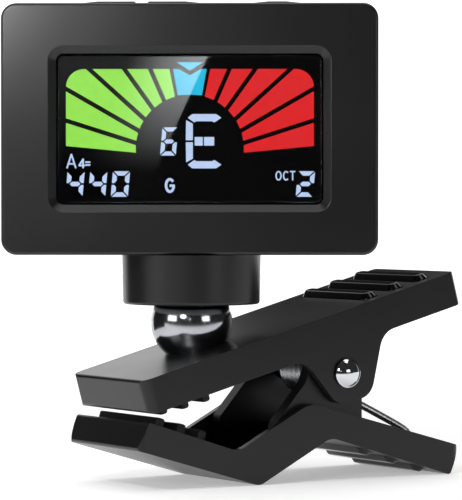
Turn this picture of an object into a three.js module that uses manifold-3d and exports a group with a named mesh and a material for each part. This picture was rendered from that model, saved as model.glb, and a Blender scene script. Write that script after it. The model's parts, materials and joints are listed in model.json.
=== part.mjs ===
// Clip-on tuner: a display head on a ball joint, carried by a spring clip.
// Millimetres, +Z up. +X runs along the clip from the jaw tips to the handles, +Y across it.
// The whole part stands on its lower jaw, with its origin under the middle of its outline.
import * as THREE from "three";
import { mergeVertices } from "three/addons/utils/BufferGeometryUtils.js";
import Module from "manifold-3d";

const wasm = await Module();
wasm.setup();

const { PI, sin, cos, tan, acos, asin, atan2 } = Math;
const rad = (degrees) => (degrees * PI) / 180;

// Driving dimensions.
const GAP = 0.3; // clearance between pieces that touch on the real object
const SEAM = 0.12; // the line between the two shells of the head
const BALL_HEIGHT = 24; // ball centre above the surface the clip stands on
const BALL_RADIUS = 6.2;
const BALL_LIFT = 3.8; // ball centre above the upper jaw's top face
const JAW_RISE = rad(15.3); // slope of the upper jaw
const HEAD_YAW = rad(-33); // how far the head is swivelled on its ball

const HEAD = { width: 56, height: 37.4, corner: 2.3, front: -9.8, split: -1.6, back: 3.2, wall: 1.6 };
HEAD.bottom = 10.3;
HEAD.top = HEAD.bottom + HEAD.height;
HEAD.middle = HEAD.bottom + HEAD.height / 2;
const WINDOW = { width: 39.7, height: 22.4, corner: 1.1, chamfer: 1.15, depth: 1 };
const HUMP = { width: 30, bottom: HEAD.bottom, top: 43.3, back: 10.2, corner: 4 };
const CELL = { radius: 10, thickness: 3.2, height: 27.5, front: 3 };
const CAP = { radius: 12, height: CELL.height };
const SCREW = { x: 24.1, z: 14.8, shank: 0.75, head: 1.6, post: 2.6 };
const BUTTON = { front: -6.6, back: -3.6, proud: 0.42, crown: 0.3, slope: 3, width: 8.6 };
const BUTTON_X = [-12.5, -2, 13];

const CUP = { top: 10.5, foot: 10.35, bottom: 2.75, mouth: 6.7, bore: 8.2 };
const SPIGOT = { radius: 5, flange: 6.4 };

const UPPER = { width: 21.6, front: -16.4, back: 42.1, depth: 5.3, plate: 1.8, wall: 1.1, corner: 1.6 };
const PIVOT = { s: 18.3, n: -9.35 }; // hinge pin, measured along and below the upper jaw's top face
const PIN = { radius: 1.5, head: 2.25, dome: 1.15 };
const LOWER = { width: 21.6, front: -15.5, back: 42.6, wall: 1.1, corner: 1.6 };
const EAR = { inner: 7, outer: 9.2 };
const WIRE = { radius: 0.6, coil: 3.1, turns: 4.5, pitch: 1.3, middle: -0.4 };
const PAD = { length: 17.8, rib: 1.5, pitch: 3.75 };
const GRIP = { length: 18.5, width: 2.8, proud: 0.9, sunk: 0.5, pitch: 5 };
const FINE = 24; // facets round a small cylinder

const MATERIALS = {
  shell: { color: 0x2b2b2d, roughness: 0.5, metalness: 0 },
  jaw: { color: 0x28282a, roughness: 0.55, metalness: 0 },
  gloss: { color: 0x101012, roughness: 0.2, metalness: 0 },
  rubber: { color: 0x161617, roughness: 0.85, metalness: 0 },
  glass: { color: 0x05060a, roughness: 0.05, metalness: 0 },
  display: { color: 0x0a0c12, roughness: 0.3, metalness: 0 },
  diffuser: { color: 0xe8ecf2, roughness: 0.6, metalness: 0 },
  board: { color: 0x145a32, roughness: 0.6, metalness: 0 },
  chrome: { color: 0xd8dade, roughness: 0.08, metalness: 1 },
  gunmetal: { color: 0x55575c, roughness: 0.12, metalness: 1 },
  steel: { color: 0xa8abb0, roughness: 0.3, metalness: 1 },
  brass: { color: 0xb8963e, roughness: 0.3, metalness: 1 },
  magnet: { color: 0x8b8d92, roughness: 0.35, metalness: 1 },
};

// Solids: closed geometries joined and cut as one body each.
function solid(geometry) {
  const bare = geometry.clone();
  bare.deleteAttribute("normal");
  bare.deleteAttribute("uv");
  const merged = mergeVertices(bare, 1e-4);
  const mesh = new wasm.Mesh({
    numProp: 3,
    vertProperties: Float32Array.from(merged.attributes.position.array),
    triVerts: Uint32Array.from(merged.index.array),
  });
  mesh.merge();
  return new wasm.Manifold(mesh);
}

function toGeometry(body) {
  const mesh = body.getMesh();
  const geometry = new THREE.BufferGeometry();
  geometry.setAttribute("position", new THREE.BufferAttribute(mesh.vertProperties, 3));
  geometry.setIndex(new THREE.BufferAttribute(mesh.triVerts, 1));
  geometry.computeVertexNormals();
  return geometry;
}

const join = (...geometries) => toGeometry(geometries.map(solid).reduce((a, b) => a.add(b)));
const overlap = (a, b) => toGeometry(solid(a).intersect(solid(b)));

function cut(geometry, ...tools) {
  return toGeometry(tools.map(solid).reduce((a, b) => a.subtract(b), solid(geometry)));
}

// Outlines. Each corner is [x, y, radius], with the radius left out at a sharp corner.
function outline(corners, segments = 5) {
  const points = [];
  corners.forEach(([x, y, radius = 0], i) => {
    const before = corners[(i + corners.length - 1) % corners.length];
    const after = corners[(i + 1) % corners.length];
    const a = atan2(before[1] - y, before[0] - x);
    const b = atan2(after[1] - y, after[0] - x);
    const half = acos(cos(a - b)) / 2;
    if (radius === 0) {
      points.push(new THREE.Vector2(x, y));
      return;
    }
    const middle = atan2(sin(a) + sin(b), cos(a) + cos(b));
    const centre = [x + (radius / sin(half)) * cos(middle), y + (radius / sin(half)) * sin(middle)];
    const reach = radius / tan(half);
    const start = atan2(y + reach * sin(a) - centre[1], x + reach * cos(a) - centre[0]);
    const end = atan2(y + reach * sin(b) - centre[1], x + reach * cos(b) - centre[0]);
    const sweep = atan2(sin(end - start), cos(end - start));
    for (let k = 0; k <= segments; k++) {
      const angle = start + (sweep * k) / segments;
      points.push(new THREE.Vector2(centre[0] + radius * cos(angle), centre[1] + radius * sin(angle)));
    }
  });
  return new THREE.Shape(points);
}

function rectangle(width, height, radius = 0, x = 0, y = 0, segments = 5) {
  const [w, h] = [width / 2, height / 2];
  const corners = [[x - w, y - h, radius], [x + w, y - h, radius], [x + w, y + h, radius], [x - w, y + h, radius]];
  return outline(corners, segments);
}

const circle = (radius, x = 0, y = 0) => new THREE.Shape().absarc(x, y, radius, 0, 2 * PI);

// Prisms: across() extrudes an XZ outline along Y, upward() extrudes an XY outline along Z.
function across(shape, from, to, segments = 12) {
  const settings = { depth: to - from, bevelEnabled: false, curveSegments: segments };
  return new THREE.ExtrudeGeometry(shape, settings).rotateX(PI / 2).translate(0, to, 0);
}

function upward(shape, from, to, segments = 12) {
  const settings = { depth: to - from, bevelEnabled: false, curveSegments: segments };
  return new THREE.ExtrudeGeometry(shape, settings).translate(0, 0, from);
}

// A prism along Y whose edges at both ends are bevelled inwards by the given size.
function softAcross(shape, from, to, size, steps = 1, segments = 12) {
  const settings = {
    depth: to - from - 2 * size,
    bevelThickness: size,
    bevelSize: size,
    bevelOffset: -size,
    bevelSegments: steps,
    curveSegments: segments,
  };
  return new THREE.ExtrudeGeometry(shape, settings).rotateX(PI / 2).translate(0, to - size, 0);
}

// Rods and discs whose axis is Y, at a point in XZ.
function rod(radius, from, to, x = 0, z = 0, facets = FINE) {
  return new THREE.CylinderGeometry(radius, radius, to - from, facets).translate(x, (from + to) / 2, z);
}

// Turned pieces: the profile is [radius, height] pairs from axis to axis, or a closed ring.
// It may run either way round: it is put in the order that turns its faces outwards.
function turned(profile, facets = 30) {
  const points = profile.map(([r, z]) => new THREE.Vector2(r, z));
  if (THREE.ShapeUtils.area(points) < 0) points.reverse();
  return new THREE.LatheGeometry(points, facets).rotateX(PI / 2);
}

function arcProfile(radius, from, to, steps, height = 0) {
  return Array.from({ length: steps + 1 }, (_, k) => {
    const angle = from + ((to - from) * k) / steps;
    return [Math.max(radius * cos(angle), 0), height + radius * sin(angle)];
  });
}

function part(name, geometry, material, parent) {
  const mesh = new THREE.Mesh(geometry, new THREE.MeshStandardMaterial(MATERIALS[material]));
  mesh.name = name;
  parent.add(mesh);
  return mesh;
}

const tuner = new THREE.Group();

// Upper jaw group: s runs along the top face from the ball's foot, n is the height above it.
const upper = new THREE.Group();
upper.position.set(BALL_LIFT * sin(JAW_RISE), 0, BALL_HEIGHT - BALL_LIFT * cos(JAW_RISE));
upper.rotation.y = -JAW_RISE;
tuner.add(upper);

const pivot = {
  x: upper.position.x + PIVOT.s * cos(JAW_RISE) - PIVOT.n * sin(JAW_RISE),
  z: upper.position.z + PIVOT.s * sin(JAW_RISE) + PIVOT.n * cos(JAW_RISE),
};

// Head group: X across the display, Y from its front to its back, Z up, origin at the ball centre.
const head = new THREE.Group();
head.position.z = BALL_HEIGHT;
head.rotation.z = HEAD_YAW;
tuner.add(head);

// Front shell of the head, open at the back, with the window, button slots and screw posts.
function frontBezel() {
  const { width, height, corner, front, split, wall, middle, top } = HEAD;
  const skin = softAcross(rectangle(width, height, corner, 0, middle), front, split + 1, 0.5);
  const trim = across(rectangle(width + 2, height + 2, 0, 0, middle), split, split + 3);
  const inside = across(rectangle(width - 2 * wall, height - 2 * wall, 1, 0, middle), front + 1.9, split + 3);
  const pane = across(rectangle(WINDOW.width, WINDOW.height, WINDOW.corner, 0, middle), front - 1, split);
  const shell = cut(skin, trim, inside, pane, windowChamfer());
  const posts = screwPlaces().map(([x, z]) => rod(SCREW.post, front + 1, split - 0.2, x, z, 24));
  const pilots = screwPlaces().map(([x, z]) => rod(1, front + 2.4, split + 1, x, z, 16));
  const slots = BUTTON_X.map((x) => buttonSlot(x, top));
  return cut(join(shell, ...posts), ...pilots, ...slots, spigotHole());
}

function windowChamfer() {
  const { width, height, corner, chamfer, depth } = WINDOW;
  const settings = { depth: 1, bevelSize: chamfer, bevelThickness: depth, bevelSegments: 1, curveSegments: 8 };
  const tool = new THREE.ExtrudeGeometry(rectangle(width, height, corner, 0, HEAD.middle), settings);
  return tool.rotateX(PI / 2).translate(0, HEAD.front, 0);
}

function screwPlaces() {
  const sides = [-SCREW.x, SCREW.x];
  return sides.flatMap((x) => [HEAD.middle - SCREW.z, HEAD.middle + SCREW.z].map((z) => [x, z]));
}

// The round hole in the head's floor for the neck of the socket cup.
function spigotHole() {
  const [below, above] = [HEAD.bottom - 1, HEAD.bottom + HEAD.wall + 1];
  const radius = SPIGOT.radius + 0.4;
  return turned([[0, below], [radius, below], [radius, above], [0, above]]);
}

function buttonSlot(x, top) {
  const { width, front, back } = BUTTON;
  const [from, to] = [front - GAP / 2, back + GAP / 2];
  return across(rectangle(width + GAP, 6, 0.6, x, top), from, to);
}

// Rear shell, with the hump that covers the coin cell and the round hole for its cap.
function rearCover() {
  const { width, height, corner, split, back, wall, middle } = HEAD;
  const front = split + SEAM;
  const plate = softAcross(rectangle(width, height, corner, 0, middle), front - 1, back, 0.5);
  const trim = across(rectangle(width + 2, height + 2, 0, 0, middle), front - 2, front);
  const humpMiddle = (HUMP.bottom + HUMP.top) / 2;
  const humpHeight = HUMP.top - HUMP.bottom;
  const hump = softAcross(rectangle(HUMP.width, humpHeight, HUMP.corner, 0, humpMiddle), back - 3, HUMP.back, 0.8);
  const inside = across(rectangle(width - 2 * wall, height - 2 * wall, 1, 0, middle), front - 2, back - wall);
  const bayWidth = HUMP.width - 2 * wall;
  const bay = across(rectangle(bayWidth, humpHeight - 2 * wall, 2.5, 0, humpMiddle), front - 2, HUMP.back - wall);
  const bosses = screwPlaces().map(([x, z]) => rod(SCREW.post, front + 0.2, back - 1, x, z, 24));
  const shell = join(cut(join(cut(plate, trim), hump), inside, bay), ...bosses);
  const holes = screwPlaces().flatMap(([x, z]) => [
    rod(1.1, front - 2, back + 1, x, z, 16),
    rod(SCREW.head + GAP, back - 1.1, back + 1, x, z, 20),
  ]);
  const mouth = rod(CAP.radius + GAP, HUMP.back - 3, HUMP.back + 1, 0, CAP.height, 40);
  const keyways = capLugs(CAP.radius - 1, CAP.radius + 1.2, PI / 3, HUMP.back - 3, HUMP.back + 1, 0.18);
  return cut(shell, ...holes, spigotHole(), mouth, ...keyways);
}

// Three lugs or keyways round the battery cap, as pieces of a ring.
function capLugs(inner, outer, turn, from, to, spread) {
  return [0, 1, 2].map((k) => {
    const middle = turn + (k * 2 * PI) / 3;
    const shape = new THREE.Shape().absarc(0, CAP.height, outer, middle - spread, middle + spread);
    shape.absarc(0, CAP.height, inner, middle + spread, middle - spread, true);
    return across(shape, from, to, 6);
  });
}

// Round battery cap with a coin slot; a sixth of a turn lines its lugs up with the keyways.
function batteryCap() {
  const back = HUMP.back;
  const disc = softAcross(circle(CAP.radius, 0, CAP.height), back - 1.5, back, 0.3, 1, 20);
  const skirt = cut(
    rod(CAP.radius - 0.4, back - 3.2, back - 1.3, 0, CAP.height, 40),
    rod(CAP.radius - 1.6, back - 4, back - 1.5, 0, CAP.height, 40),
  );
  const lugs = capLugs(CAP.radius - 1, CAP.radius + 0.9, 0, back - 3.2, back - 2.1, 0.15);
  const slot = across(rectangle(13, 1.6, 0.7, 0, CAP.height), back - 0.7, back + 1);
  return cut(join(disc, skirt, ...lugs), slot);
}

function lens() {
  const shape = rectangle(WINDOW.width - 2 * GAP, WINDOW.height - 2 * GAP, WINDOW.corner - 0.2, 0, HEAD.middle);
  return across(shape, HEAD.front + 1, HEAD.front + 2.1);
}

const PANEL = { width: 43, height: 25.4, front: HEAD.front + 2.4 };

function lcdPanel() {
  return across(rectangle(PANEL.width, PANEL.height, 0.4, 0, HEAD.middle), PANEL.front, PANEL.front + 2);
}

function backlight() {
  const front = PANEL.front + 2.3;
  return across(rectangle(PANEL.width, PANEL.height - 3, 0.4, 0, HEAD.middle + 1.5), front, front + 1.2);
}

function zebraStrip() {
  const front = PANEL.front + 2.3;
  const z = HEAD.middle - PANEL.height / 2 + 1;
  return across(rectangle(PANEL.width - 3, 1.6, 0.3, 0, z), front, front + 1.2);
}

const BOARD = { width: 51, height: 31, front: PANEL.front + 3.8, back: PANEL.front + 5 };

function circuitBoard() {
  const board = across(rectangle(BOARD.width, BOARD.height, 1, 0, HEAD.middle), BOARD.front, BOARD.back);
  const notches = screwPlaces().map(([x, z]) => rod(SCREW.post + GAP, BOARD.front - 1, BOARD.back + 1, x, z, 24));
  return cut(board, ...notches);
}

// Side-pressed switch at the board's top edge, under one button.
function tactSwitch(x) {
  const top = HEAD.top - 3.4;
  const body = across(rectangle(4.2, 2.1, 0.2, x, top - 1.05), BOARD.front - GAP - 2, BOARD.front - GAP);
  const plunger = across(rectangle(1.8, 1, 0.2, x, top), BOARD.front - GAP - 1.6, BOARD.front - GAP - 0.5);
  return join(body, plunger);
}

// Push button: the cap shows above the head, the flange behind the wall keeps it in. Its top
// slopes away at its left end, its right end or both, over the lengths given.
function button(x, slopeLeft, slopeRight) {
  const { width, front, back, proud, crown } = BUTTON;
  const [w, top, floor] = [width / 2, HEAD.top + proud, HEAD.top - HEAD.wall - GAP];
  const corners = [[x - w, floor], [x + w, floor]];
  corners.push(...(slopeRight ? [[x + w, top - crown], [x + w - slopeRight, top, 2]] : [[x + w, top, 0.1]]));
  corners.push(...(slopeLeft ? [[x - w + slopeLeft, top, 2], [x - w, top - crown]] : [[x - w, top, 0.1]]));
  const cap = across(outline(corners), front, back);
  const flange = across(rectangle(width + 1, 0.6, 0, x, floor - 0.25), front - 0.4, back + 0.2);
  return join(cap, flange);
}

function batteryHolder() {
  const { height: z } = CELL;
  const back = CELL.front + CELL.thickness - 0.4;
  const ring = rod(CELL.radius + 2.4, BOARD.back + GAP, back, 0, z, 32);
  const bore = rod(CELL.radius + 0.4, BOARD.back - 1, back + 1, 0, z, 32);
  const side = across(rectangle(6, 5.4, 0, CELL.radius + 1, z), BOARD.back - 1, back + 1);
  return cut(ring, bore, side);
}

function coinCell() {
  const { radius, thickness, height, front } = CELL;
  const can = softAcross(circle(radius, 0, height), front + 0.5, front + thickness, 0.3, 1, 16);
  return join(can, rod(radius - 1.2, front, front + 1, 0, height, 32));
}

function contactMinus() {
  const { front, height: z } = CELL;
  const leaf = across(rectangle(12, 3, 1, 0, z), front - 0.9, front - 0.5);
  const cross = across(rectangle(3, 12, 1, 0, z), front - 0.9, front - 0.5);
  const foot = across(rectangle(1.6, 0.5, 0, 0, z - 5.5), BOARD.back + GAP, front - 0.7);
  return join(leaf, cross, foot);
}

function contactPlus() {
  const { radius, thickness, front, height: z } = CELL;
  const back = front + thickness;
  const side = across(rectangle(0.4, 4, 0, radius + 0.6, z), BOARD.back + GAP, back + 0.6);
  const hook = across(rectangle(3, 4, 0, radius - 0.8, z), back + 0.25, back + 0.6);
  return join(side, hook);
}

function caseScrew(x, z) {
  const back = HEAD.back - 0.25;
  const cap = softAcross(circle(SCREW.head, x, z), back - 0.8, back, 0.25, 1, 8);
  const shank = rod(SCREW.shank, HEAD.front + 3, back - 0.7, x, z, 10);
  const bar = across(rectangle(2, 0.45, 0, x, z), back - 0.45, back + 1);
  const cross = across(rectangle(0.45, 2, 0, x, z), back - 0.45, back + 1);
  return cut(join(cap, shank), bar, cross);
}

part("front_bezel", frontBezel(), "shell", head);
part("rear_cover", rearCover(), "shell", head);
part("screen_lens", lens(), "glass", head);
part("lcd_panel", lcdPanel(), "display", head);
part("backlight_panel", backlight(), "diffuser", head);
part("zebra_connector", zebraStrip(), "rubber", head);
part("circuit_board", circuitBoard(), "board", head);
part("piezo_disc", rod(5, 0.3, 1, -20.4, CELL.height, 24), "brass", head);
const { slope: buttonSlope } = BUTTON;
const buttonSlopes = { left: [buttonSlope, 0], middle: [0, buttonSlope], right: [buttonSlope, buttonSlope] };
Object.entries(buttonSlopes).forEach(([side, slopes], k) => {
  part(`button_${side}`, button(BUTTON_X[k], ...slopes), "shell", head);
  part(`switch_${side}`, tactSwitch(BUTTON_X[k]), "gloss", head);
});
part("battery_holder", batteryHolder(), "gloss", head);
part("coin_cell", coinCell(), "steel", head);
part("battery_contact_minus", contactMinus(), "brass", head);
part("battery_contact_plus", contactPlus(), "brass", head);
part("battery_cap", batteryCap(), "shell", head);
screwPlaces().forEach(([x, z], k) => part(`case_screw_${k + 1}`, caseScrew(x, z), "steel", head));

// Socket cup: its spigot and flange are trapped between the two halves of the head.
function socketCup() {
  const seat = HEAD.bottom - GAP;
  const roof = HEAD.bottom + HEAD.wall + GAP;
  return turned(
    [
      [0, roof + 1], [SPIGOT.flange, roof + 1], [SPIGOT.flange, roof], [SPIGOT.radius, roof],
      [SPIGOT.radius, seat], [CUP.top, seat], [CUP.foot, CUP.bottom + 0.5], [CUP.foot - 0.5, CUP.bottom],
      [CUP.mouth + 0.3, CUP.bottom], [CUP.mouth, CUP.bottom + 0.3], [CUP.mouth, CUP.bottom + 0.9],
      [CUP.bore, CUP.bottom + 0.9], [CUP.bore, seat - 0.8], [0, seat - 0.8],
    ],
    40,
  );
}

// Parts in the cup. Each is cut to a ball of its own size about the ball's centre.
// The liner's cap stays clear of the friction ring when the head leans to either side.
const LINER_SPREAD = rad(19);

function frictionRing() {
  const [floor, roof, inner] = [CUP.bottom + 1.2, 5.3, BALL_RADIUS + 0.35];
  const lip = arcProfile(inner, asin(floor / inner), asin(roof / inner), 4);
  return turned([...lip, [CUP.bore - GAP, roof], [CUP.bore - GAP, floor], lip[0]]);
}

function socketMagnet() {
  const [floor, roof, dimple] = [5.6, 8.2, BALL_RADIUS + 0.85];
  const hollow = arcProfile(dimple, asin(floor / dimple), PI / 2, 6);
  return turned([[0, roof], [CUP.bore - GAP, roof], [CUP.bore - GAP, floor], ...hollow]);
}

function ballLiner() {
  const edge = PI / 2 - LINER_SPREAD;
  const inside = arcProfile(BALL_RADIUS + 0.15, edge, PI / 2, 4);
  const outside = arcProfile(BALL_RADIUS + 0.55, edge, PI / 2, 4);
  return turned([...inside.reverse(), ...outside]);
}

part("socket_cup", socketCup(), "shell", head);
part("friction_ring", frictionRing(), "rubber", head);
part("socket_magnet", socketMagnet(), "magnet", head);
const keeper = turned([[0, 8.5], [CUP.bore - GAP, 8.5], [CUP.bore - GAP, 8.95], [0, 8.95]]);
part("magnet_keeper", keeper, "steel", head);
part("ball_liner", ballLiner(), "diffuser", head);

// Ball on a threaded shank, held from below by a nut.
function ballStud() {
  const foot = asin((BALL_LIFT - GAP) / BALL_RADIUS);
  const ball = arcProfile(BALL_RADIUS, -foot, PI / 2, 12, BALL_LIFT);
  const stem = [[0, -5.4], [1.8, -5.4], [2, -5.2], [2, GAP]];
  return turned([...stem, ...ball], 36);
}

function studNut() {
  const hex = new THREE.CylinderGeometry(3.6, 3.6, 2.2, 6).rotateX(PI / 2).translate(0, 0, -3.2);
  return cut(hex, turned([[0, -6], [2.15, -6], [2.15, 0], [0, 0]], 32));
}

part("ball_stud", ballStud(), "gunmetal", upper);
part("stud_nut", studNut(), "steel", upper);

// Upper jaw: a plate with side walls that drop to a lobe round the hinge pin on each side.
function upperJaw() {
  const { width, front, back, depth, plate, wall, corner } = UPPER;
  const side = [
    [front, 0, 0.5], [back, 0, 0.5], [back - 0.1, -depth, 0.8], [26.4, -depth, 3.5], [21.8, -13.95, 3.2],
    [15.5, -13.95, 3.3], [11.5, -depth, 3.5], [front, -depth + 0.1, 0.8],
  ].reverse();
  const skin = across(outline(side), -width / 2, width / 2);
  const length = back - front;
  const plan = upward(rectangle(length, width, corner, front + length / 2), -20, 5);
  const hollow = upward(rectangle(length - 2 * wall, width - 2 * wall, 0.5, front + length / 2), -20, -plate);
  const pinHole = rod(PIN.radius + GAP, -width, width, PIVOT.s, PIVOT.n, 24);
  const stemHole = turned([[0, -5], [2.3, -5], [2.3, 5], [0, 5]], 32);
  const pockets = gripPlaces(UPPER_GRIP).map((s) => gripPocket(s, -GRIP.sunk - GAP, 2));
  return cut(overlap(skin, plan), hollow, pinHole, stemHole, ...pockets);
}

const UPPER_GRIP = 26.9;
const gripPlaces = (first) => [0, 1, 2].map((k) => first + k * GRIP.pitch);

function gripPocket(s, from, to) {
  const shape = rectangle(GRIP.width + 0.3, GRIP.length + 0.3, GRIP.width / 2, s);
  return upward(shape, from, to);
}

// Moulded grip bar with round ends and a sloped edge.
function gripBar(proud) {
  const { width, length, sunk } = GRIP;
  const shape = rectangle(width, length, width / 2 - 0.05);
  const slope = { depth: sunk, bevelThickness: proud, bevelSize: 0.6, bevelOffset: -0.6, bevelSegments: 2 };
  const bar = new THREE.ExtrudeGeometry(shape, slope).translate(0, 0, -sunk);
  const below = upward(rectangle(width + 2, length + 2), -5, -sunk);
  return cut(bar, below);
}

// Rubber pad: a base with three ribs across it, of the heights given, the ribs standing on +Z.
function ribbedPad(base, tops) {
  const plate = upward(rectangle(2 * PAD.pitch + PAD.rib + 2, PAD.length + 1, 0.5), 0, base);
  const ribs = tops.map((top, k) => {
    const shape = rectangle(PAD.rib, PAD.length, 0.6, (k - 1) * PAD.pitch);
    return upward(shape, base - 0.2, top);
  });
  return join(plate, ...ribs);
}

part("upper_jaw", upperJaw(), "jaw", upper);
const upperPad = part("upper_pad", ribbedPad(2.6, [4.1, 4.4, 4.5]), "rubber", upper);
upperPad.position.set(-9.25, 0, -UPPER.plate - GAP);
upperPad.rotation.x = PI;
gripPlaces(UPPER_GRIP).forEach((s, k) => {
  part(`upper_grip_${k + 1}`, gripBar(GRIP.proud), "gloss", upper).position.x = s;
});

// Lower jaw: a bent channel with two inner ears for the hinge pin.
const LOWER_SIDE = [
  [LOWER.front, 5.85, 0.5], [5.46, -0.3, 2.2], [18.3, 6.37, 3], [40.6, -0.35, 0.6],
  [LOWER.back, 4.1, 0.6], [14.6, 11.8, 5], [1.65, 5.05, 3], [-13.75, 9.95, 0.5],
];
const CHANNEL = [
  [-13.9, 7.2], [5.3, 1.33, 2.5], [18.1, 8, 4], [40, 1.4], [41.6, 6], [41.6, 30], [-12.75, 30],
  [-12.75, 10],
];
const EAR_SIDE = [
  [10.6, 1], [20, 6], [25, 5.5], [25, 20.7, 4.2], [16.8, 20.7, 4.2], [14.7, 14.8, 3], [9.2, 8.6, 1.5],
];

function lowerJaw() {
  const { width, front, back, wall, corner } = LOWER;
  const skin = across(outline(LOWER_SIDE), -width / 2, width / 2);
  const plan = upward(rectangle(back - front, width, corner, (front + back) / 2), -5, 40);
  const channel = across(outline(CHANNEL), -width / 2 + wall, width / 2 - wall);
  const tray = cut(overlap(skin, plan), channel);
  const ears = [-EAR.outer, EAR.inner].map((y) => earPlate(y, y + EAR.outer - EAR.inner));
  const pinHole = rod(PIN.radius + GAP, -width, width, pivot.x, pivot.z, 24);
  const slope = (x) => LOWER_HANDLE.z - (x - LOWER_HANDLE.x) * tan(LOWER_HANDLE.fall);
  const pockets = gripPlaces(LOWER_GRIP).map((x) => {
    const pocket = gripPocket(0, -GRIP.sunk - GAP, 2).rotateX(PI).rotateY(LOWER_HANDLE.fall);
    return pocket.translate(x, 0, slope(x));
  });
  return cut(join(tray, ...ears), pinHole, ...pockets);
}

// The underside of the lower handle: a point on it, and how steeply it falls towards the end.
const LOWER_HANDLE = { x: 18.3, z: 6.37, fall: atan2(6.72, 22.3) };
const LOWER_GRIP = 26.2;

// Ear: kept a little inside the jaw's underside, so that it never shows below it.
function earPlate(from, to) {
  const keep = across(outline([[0, 1.5], [5.46, 0.4], [18.3, 7.2], [40, 1], [40, 30], [0, 30]]), from - 1, to + 1);
  return overlap(across(outline(EAR_SIDE), from, to), keep);
}

part("lower_jaw", lowerJaw(), "jaw", tuner);
gripPlaces(LOWER_GRIP).forEach((x, k) => {
  const bar = part(`lower_grip_${k + 1}`, gripBar(GRIP.proud - 0.15), "gloss", tuner);
  bar.position.set(x, 0, LOWER_HANDLE.z - (x - LOWER_HANDLE.x) * tan(LOWER_HANDLE.fall));
  bar.rotation.order = "YXZ";
  bar.rotation.y = LOWER_HANDLE.fall;
  bar.rotation.x = PI;
});

const CHANNEL_FALL = atan2(CHANNEL[0][1] - CHANNEL[1][1], CHANNEL[1][0] - CHANNEL[0][0]);
const LOWER_PAD_X = -7.95;
const lowerPad = part("lower_pad", ribbedPad(2.3, [3.7, 3.8, 3.8]), "rubber", tuner);
const padDrop = (LOWER_PAD_X - CHANNEL[0][0]) * tan(CHANNEL_FALL);
lowerPad.position.set(LOWER_PAD_X + GAP * sin(CHANNEL_FALL), 0, CHANNEL[0][1] - padDrop + GAP);
lowerPad.rotation.y = CHANNEL_FALL;

// Hinge pin with a dome on each end, outside the upper jaw's lobes.
function hingePin() {
  const { radius, head: wide, dome } = PIN;
  const reach = UPPER.width / 2 + GAP;
  const sphere = (wide * wide + dome * dome) / (2 * dome);
  const low = asin((sphere - dome) / sphere);
  const cap = arcProfile(sphere, low, PI / 2, 4, reach + dome - sphere);
  const half = [[radius, 0], [radius, reach], [wide, reach], ...cap.slice(1)];
  const other = half.slice(1).map(([r, z]) => [r, -z]).reverse();
  return turned([...other, ...half], 24).rotateX(PI / 2);
}

part("hinge_pin", hingePin(), "chrome", tuner).position.set(pivot.x, 0, pivot.z);

// Torsion spring: coils round the pin, one leg under the upper handle, and one whose foot
// is bent down onto the lower handle.
function springRoute() {
  const { coil, turns, pitch, middle } = WIRE;
  const far = middle + (turns * pitch) / 2;
  const near = middle - (turns * pitch) / 2;
  const points = [[15.4, 10.8], [11, 8.4], [6, 5.3]].map(([x, z]) => new THREE.Vector3(x, far, z));
  const steps = turns * 12;
  for (let k = 0; k <= steps; k++) {
    const angle = PI / 2 + (k / steps) * turns * 2 * PI;
    points.push(new THREE.Vector3(coil * cos(angle), far + (near - far) * (k / steps), coil * sin(angle)));
  }
  const lowerLeg = [[2, -3.25], [4.4, -4.05], [7.7, -5.55], [16.2, -9.75], [16.9, -10.6], [17.1, -13.6]];
  points.push(...lowerLeg.map(([x, z]) => new THREE.Vector3(x, near, z)));
  return new THREE.CatmullRomCurve3(points, false, "centripetal");
}

function torsionSpring() {
  const section = new THREE.Shape(
    Array.from({ length: 6 }, (_, k) => {
      const angle = (k * PI) / 3;
      return new THREE.Vector2(WIRE.radius * cos(angle), WIRE.radius * sin(angle));
    }),
  );
  return new THREE.ExtrudeGeometry(section, { extrudePath: springRoute(), steps: 100, bevelEnabled: false });
}

part("torsion_spring", torsionSpring(), "chrome", tuner).position.set(pivot.x, 0, pivot.z);

// The origin goes to the middle of the outline, on the surface that the clip stands on.
tuner.updateMatrixWorld(true);
const box = new THREE.Box3().setFromObject(tuner, true);
const middle = box.getCenter(new THREE.Vector3());
tuner.position.set(-middle.x, -middle.y, -box.min.z);
tuner.updateMatrixWorld(true);

export default tuner;
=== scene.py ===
import json
from math import acos, asin, atan2, cos, pi, radians, sin, tan

import bmesh
import bpy
from mathutils import Matrix, Vector


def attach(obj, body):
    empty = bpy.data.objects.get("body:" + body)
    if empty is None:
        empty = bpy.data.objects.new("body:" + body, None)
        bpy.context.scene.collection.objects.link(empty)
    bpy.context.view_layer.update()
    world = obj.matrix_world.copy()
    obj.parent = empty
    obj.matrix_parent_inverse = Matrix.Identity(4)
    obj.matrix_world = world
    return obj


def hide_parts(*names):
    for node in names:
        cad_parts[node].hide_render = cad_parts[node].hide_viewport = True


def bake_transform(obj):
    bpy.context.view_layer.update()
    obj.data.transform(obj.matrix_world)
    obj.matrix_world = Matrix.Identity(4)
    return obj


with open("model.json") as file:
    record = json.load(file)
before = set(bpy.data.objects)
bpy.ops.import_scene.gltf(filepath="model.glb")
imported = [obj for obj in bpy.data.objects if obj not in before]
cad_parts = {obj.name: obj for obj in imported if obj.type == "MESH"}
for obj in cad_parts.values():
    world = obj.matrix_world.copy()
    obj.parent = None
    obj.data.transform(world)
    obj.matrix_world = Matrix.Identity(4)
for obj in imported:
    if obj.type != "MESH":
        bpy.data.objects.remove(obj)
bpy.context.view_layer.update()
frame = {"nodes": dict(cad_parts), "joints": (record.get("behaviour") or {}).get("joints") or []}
joints = {joint["name"]: joint for joint in frame["joints"]}

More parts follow.
